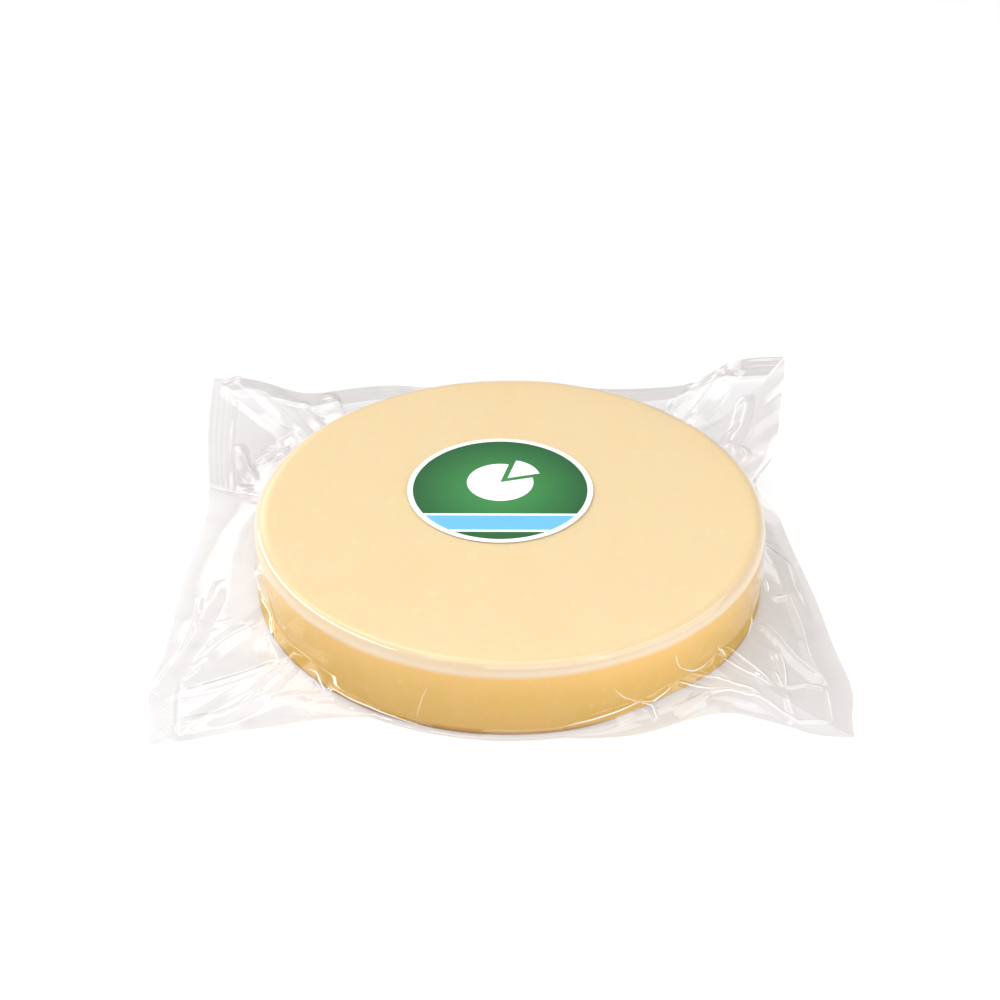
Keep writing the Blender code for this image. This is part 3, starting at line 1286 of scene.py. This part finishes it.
class PROVOLETA_OT_film(bpy.types.Operator):
    """Makes the upper and lower film of the pouch, with their folds"""

    bl_idname = "provoleta.film"
    bl_label = "Make the film"

    def execute(self, context):
        settings = context.scene.provoleta_film
        clear = settings.clear
        material = clear_film("loose_clear_laminate", clear, settings.gloss, settings.roughness)
        # A darker copy of the same film: painted shade for the right border beside the disc
        right_shaded_film = clear_film("right_shaded_clear_laminate", settings.right_shade_tint, settings.gloss, settings.roughness)
        drawn = clear_film("tight_clear_laminate", clear, settings.tight_gloss, settings.tight_roughness)
        welded = clear_film("welded_laminate", settings.sealed, settings.gloss, settings.roughness)
        places = stations(settings.columns)
        base = smooth_grid(upper_film_grid(places, settings.rings), 2)
        grid = self.folded(base, places, settings)
        normal = grid_normals(grid)
        foot = len(grid) - settings.rings
        over = mesh_from_grid(
            "film_over_disc",
            grid[: foot + 1],
            drawn,
            centre=(0.0, 0.0, DISC_HEIGHT),
            normals=normal[: foot + 1],
        )
        dress(over, POUCH_NODE)
        for number, name in enumerate(("front", "right", "back", "left")):
            columns = np.flatnonzero(places.side == number)
            columns = np.append(columns, (columns[-1] + 1) % len(places.side))
            piece = mesh_from_grid(
                "film_border_" + name,
                grid[foot:, columns],
                right_shaded_film if number == RIGHT_SIDE else material,
                closed=False,
                normals=normal[foot:, columns],
            )
            dress(piece, POUCH_NODE)
        self.flap(grid, normal, places, foot, material)
        self.back_seal(grid, normal, places, foot, welded)
        # Ribbons of painted highlight along the crests of sharp creases
        points, faces = crease_ribbons(base, grid, normal, FOLDS + WALL_FOLDS)
        creases = mesh_object("crease_highlight_ribbons", points, faces, crease_highlight_paint())
        dress(creases, POUCH_NODE)
        self.lower(stations(settings.columns // 3), material)
        return {"FINISHED"}

    def folded(self, base, places, settings):
        """The upper film with its creases, seal, pleats and gentle waves."""
        small_folds = scattered_folds(5, settings.small_folds)
        push = fold_heights(base, FOLDS + WALL_FOLDS, settings.fold_scale)
        push += fold_heights(base, small_folds, settings.fold_scale)
        push += foot_pleats(base, places)
        push += seal_relief(base, places)
        push += jaw_dots(base, *DOTTED_PATCH)
        border = np.clip((np.hypot(base[..., 0], base[..., 1]) - DISC_RADIUS) / 3.0, 0.0, 1.0)
        push += border * (0.07 * wander(base, seed=3, size=18.0))
        grid = base + grid_normals(base) * push[..., None]
        grid[..., 2] = np.maximum(grid[..., 2], LEAST_UPPER_LEVEL)
        return grid

    def lower(self, places, material):
        """The lower film, which lies on the table under the disc and waves a little beside it."""
        grid = lower_film_grid(places)
        reach = np.hypot(grid[..., 0], grid[..., 1])
        loose = np.clip((reach - DISC_RADIUS) / 5.0, 0.0, 1.0)
        grid[..., 2] += loose * 0.12 * np.maximum(-0.8, wander(grid, seed=8, size=9.0))
        grid[..., 2] = np.maximum(grid[..., 2], LOWER_FILM_LEVEL)
        piece = mesh_from_grid("lower_film", grid, material, centre=(0.0, 0.0, LOWER_FILM_LEVEL))
        dress(piece, POUCH_NODE)

    def flap(self, grid, normal, places, foot, material):
        """The seal's end, folded over and lying loose on the back of the left border."""
        columns = np.flatnonzero((places.side == LEFT_SIDE) & (places.along <= FLAP_END))
        rows = np.arange(foot + (len(grid) - foot) // 7, len(grid))
        base = grid[rows][:, columns]
        out = normal[rows][:, columns]
        away = (FLAP_END - places.along[columns]) / FLAP_END
        rise = FLAP_RISE * np.clip(away / 0.03, 0.0, 1.0) ** 0.5 * (1.0 - 0.45 * away)
        share = np.linspace(0.0, 1.0, len(rows))[:, None]
        under_flap = 0.15
        height = under_flap + rise * np.clip(share / 0.25, 0.0, 1.0) ** 0.6
        inside = (places.radius - np.hypot(grid[..., 0], grid[..., 1])) * places.slant
        inside = inside[rows][:, columns]
        # Its pressed ribs, the ridge along their inner edge, and the film's own waves
        band = np.clip((SEAL_WIDTH - inside) / 0.5, 0.0, 1.0)
        height = height + band * 0.05 * np.sin(2.0 * math.pi * inside / 1.45)
        height = height + 0.35 * np.exp(-(((inside - SEAL_WIDTH) / 0.35) ** 2))
        height = height + 0.10 * np.minimum(rise, 1.0) * wander(base, seed=21, size=14.0)
        flap = base + out * np.maximum(height, 0.1)[..., None]
        piece = mesh_from_grid("folded_flap", flap, material, closed=False)
        dress(piece, POUCH_NODE)

    def back_seal(self, grid, normal, places, foot, material):
        """The band that is welded along the back edge, which is thicker than the rest of the border."""
        columns = np.flatnonzero(places.side == BACK_SIDE)
        width = (places.radius - DISC_RADIUS)[columns]
        steps = len(grid) - 1 - foot
        strip_raise = 0.12
        rows = []
        for inside in np.linspace(SEAL_STRIP, 0.0, 12):
            share = 1.0 - inside / np.maximum(places.slant[columns] * width, 1.5 * SEAL_STRIP)
            at = foot + share * steps
            low = np.minimum(at.astype(int), len(grid) - 2)
            part = (at - low)[:, None]
            point = grid[low, columns] * (1.0 - part) + grid[low + 1, columns] * part
            out = normal[low, columns] * (1.0 - part) + normal[low + 1, columns] * part
            rib = RIB_HEIGHT * math.sin(2.0 * math.pi * inside / RIB_PITCH)
            rows.append(point + out * (strip_raise + rib))
        strip = mesh_from_grid("back_seal", np.array(rows), material, closed=False)
        dress(strip, POUCH_NODE)


class PROVOLETA_OT_label(bpy.types.Operator):
    """Makes the round label on the film"""

    bl_idname = "provoleta.label"
    bl_label = "Make the label"

    def execute(self, context):
        settings = context.scene.provoleta_label
        low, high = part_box(LABEL_NODE)
        middle = np.array((low[0] + high[0], low[1] + high[1])) / 2.0 / MM
        radius = (high[0] - low[0]) / 2.0 / MM
        # Coated paper is an even white with a soft sheen
        paper = even_finish("coated_label_paper", tuple(settings.paper), 0.4)
        green = green_ink(settings, middle, radius)
        # Offset ink lies flat on that paper and has a satin sheen
        blue = even_finish("offset_blue_ink", tuple(settings.blue), 0.35)
        on_film = DISC_HEIGHT + LABEL_RAISE
        field = radius - LABEL_MARGIN
        shapes = (
            ("label_paper", circle(radius), paper),
            ("label_green", circle(field), green),
            ("label_band", chord(field, -0.50, -0.86), paper),
            ("label_blue", chord(field, -0.54, -0.82), blue),
            ("label_wheel", cut_wheel(0.36 * radius), paper),
            ("label_wedge", wedge(0.36 * radius, 0.07 * radius), paper),
        )
        for order, (name, outline, material) in enumerate(shapes):
            top = on_film + PAPER_THICKNESS + LAYER_STEP * order
            bottom = on_film if order == 0 else top - LAYER_STEP
            piece = flat_shape(name, outline + middle, bottom, top, material)
            dress(piece, LABEL_NODE)
        return {"FINISHED"}


class PROVOLETA_OT_stage(bpy.types.Operator):
    """Makes the floor, the soft studio light and the camera"""

    bl_idname = "provoleta.stage"
    bl_label = "Make the stage"

    def execute(self, context):
        settings = context.scene.provoleta_stage
        scene = context.scene
        half = 4.0
        corners = [(-half, -half, 0.0), (half, -half, 0.0), (half, half, 0.0), (-half, half, 0.0)]
        floor = mesh_object("floor", corners, [[0, 1, 2, 3]], lit_table(settings), smooth=False)
        scene.world = self.room(settings)
        for lamp in LAMPS:
            self.softbox(lamp, settings.softboxes)
        lens = bpy.data.cameras.new("camera")
        lens.lens = settings.lens
        lens.sensor_width = 36.0
        lens.clip_start = 0.01
        camera = bpy.data.objects.new("camera", lens)
        camera.location = CAMERA_PLACE
        self.aim(camera, CAMERA_TARGET)
        scene.collection.objects.link(camera)
        scene.camera = camera
        scene.view_settings.view_transform = "Standard"
        scene.view_settings.look = "None"
        scene.cycles.transparent_max_bounces = 32
        return {"FINISHED"}

    def room(self, settings):
        """The studio: brighter on one side, with windows, and with a white sweep at table height."""
        world = bpy.data.worlds.new("studio")
        world.use_nodes = True
        tree = world.node_tree
        tree.nodes.clear()
        along = add_node(tree, "ShaderNodeTexCoord").outputs["Generated"]
        share = self.towards(tree, along, settings.bright_side)
        light = set_ramp(
            add_node(tree, "ShaderNodeValToRGB", {"Fac": share}),
            tuple((place, grey(level)) for place, level in ROOM),
        ).outputs["Color"]
        for window in WINDOWS:
            share = self.towards(tree, along, window.direction())
            patch = set_ramp(
                add_node(tree, "ShaderNodeValToRGB", {"Fac": share}),
                (
                    (0.0, grey(0.0)),
                    (nearness(window.whole), grey(0.0)),
                    (nearness(window.full), grey(1.0)),
                ),
            ).outputs["Color"]
            patch = add_node(
                tree,
                "ShaderNodeVectorMath",
                {0: patch, "Scale": window.light * settings.windows},
                operation="SCALE",
            ).outputs["Vector"]
            light = add_node(
                tree,
                "ShaderNodeMix",
                {"Factor": 1.0, 6: light, 7: patch},
                data_type="RGBA",
                blend_type="ADD",
            ).outputs[2]
        upwards = add_node(tree, "ShaderNodeSeparateXYZ", {"Vector": along}).outputs["Z"]
        low, high = SWEEP_FADE
        sweep = add_node(
            tree,
            "ShaderNodeMapRange",
            {"Value": upwards, "From Min": low, "From Max": high, "To Min": 1.0, "To Max": 0.0},
        ).outputs["Result"]
        walls = add_node(
            tree, "ShaderNodeMix", {"Factor": sweep, 6: light, 7: grey(1.0)}, data_type="RGBA"
        ).outputs[2]
        shader = add_node(
            tree, "ShaderNodeBackground", {"Color": walls, "Strength": settings.world}
        )
        out = add_node(tree, "ShaderNodeOutputWorld")
        tree.links.new(shader.outputs[0], out.inputs["Surface"])
        return world

    def towards(self, tree, along, direction):
        """The nearness of each direction of the room to this one, as a node's output."""
        cosine = add_node(
            tree, "ShaderNodeVectorMath", {0: along, 1: direction}, operation="DOT_PRODUCT"
        ).outputs["Value"]
        return add_node(
            tree, "ShaderNodeMapRange", {"Value": cosine, "From Min": -1.0, "From Max": 1.0}
        ).outputs["Result"]

    def aim(self, item, target):
        """Turns a camera so that it looks at a place."""
        direction = Vector(target) - item.location
        item.rotation_euler = direction.to_track_quat("-Z", "Y").to_euler()

    def softbox(self, lamp, strength):
        """A flat lamp that faces the pack, with its long side along the line between its ends."""
        start, end = Vector(lamp.start), Vector(lamp.end)
        middle = (start + end) / 2.0
        data = bpy.data.lights.new(lamp.name, "AREA")
        data.shape = "RECTANGLE"
        data.size = lamp.width
        data.size_y = (end - start).length
        data.energy = lamp.radiance * strength * math.pi * data.size * data.size_y
        back = middle.normalized()
        along = (end - start).normalized()
        across = along.cross(back).normalized()
        along = back.cross(across)
        made = bpy.data.objects.new(lamp.name, data)
        turn = Matrix((across, along, back)).transposed().to_4x4()
        made.matrix_world = Matrix.Translation(middle) @ turn
        bpy.context.scene.collection.objects.link(made)


class PROVOLETA_PT_panel(bpy.types.Panel):
    """Lists the pieces of the pack"""

    bl_idname = "PROVOLETA_PT_panel"
    bl_label = "Provoleta"
    bl_space_type = "VIEW_3D"
    bl_region_type = "UI"
    bl_category = "Provoleta"

    def draw(self, context):
        for operator in OPERATORS:
            self.layout.operator(operator.bl_idname)


SETTINGS = {
    "provoleta_cheese": CheeseSettings,
    "provoleta_film": FilmSettings,
    "provoleta_label": LabelSettings,
    "provoleta_stage": StageSettings,
}
OPERATORS = (
    PROVOLETA_OT_stage,
    PROVOLETA_OT_cheese,
    PROVOLETA_OT_film,
    PROVOLETA_OT_label,
)


def register():
    """Makes the settings, the operators and the panel known to Blender."""
    for made in (*SETTINGS.values(), *OPERATORS, PROVOLETA_PT_panel):
        bpy.utils.register_class(made)
    for name, group in SETTINGS.items():
        setattr(bpy.types.Scene, name, PointerProperty(type=group))


def unregister():
    """Takes away what register made."""
    for name in SETTINGS:
        delattr(bpy.types.Scene, name)
    for made in (PROVOLETA_PT_panel, *reversed(OPERATORS), *reversed(SETTINGS.values())):
        bpy.utils.unregister_class(made)


def main():
    """Builds the stage and every piece of the pack."""
    register()
    bpy.ops.provoleta.stage()
    bpy.ops.provoleta.cheese()
    bpy.ops.provoleta.film()
    bpy.ops.provoleta.label()


if __name__ == "__main__":
    main()
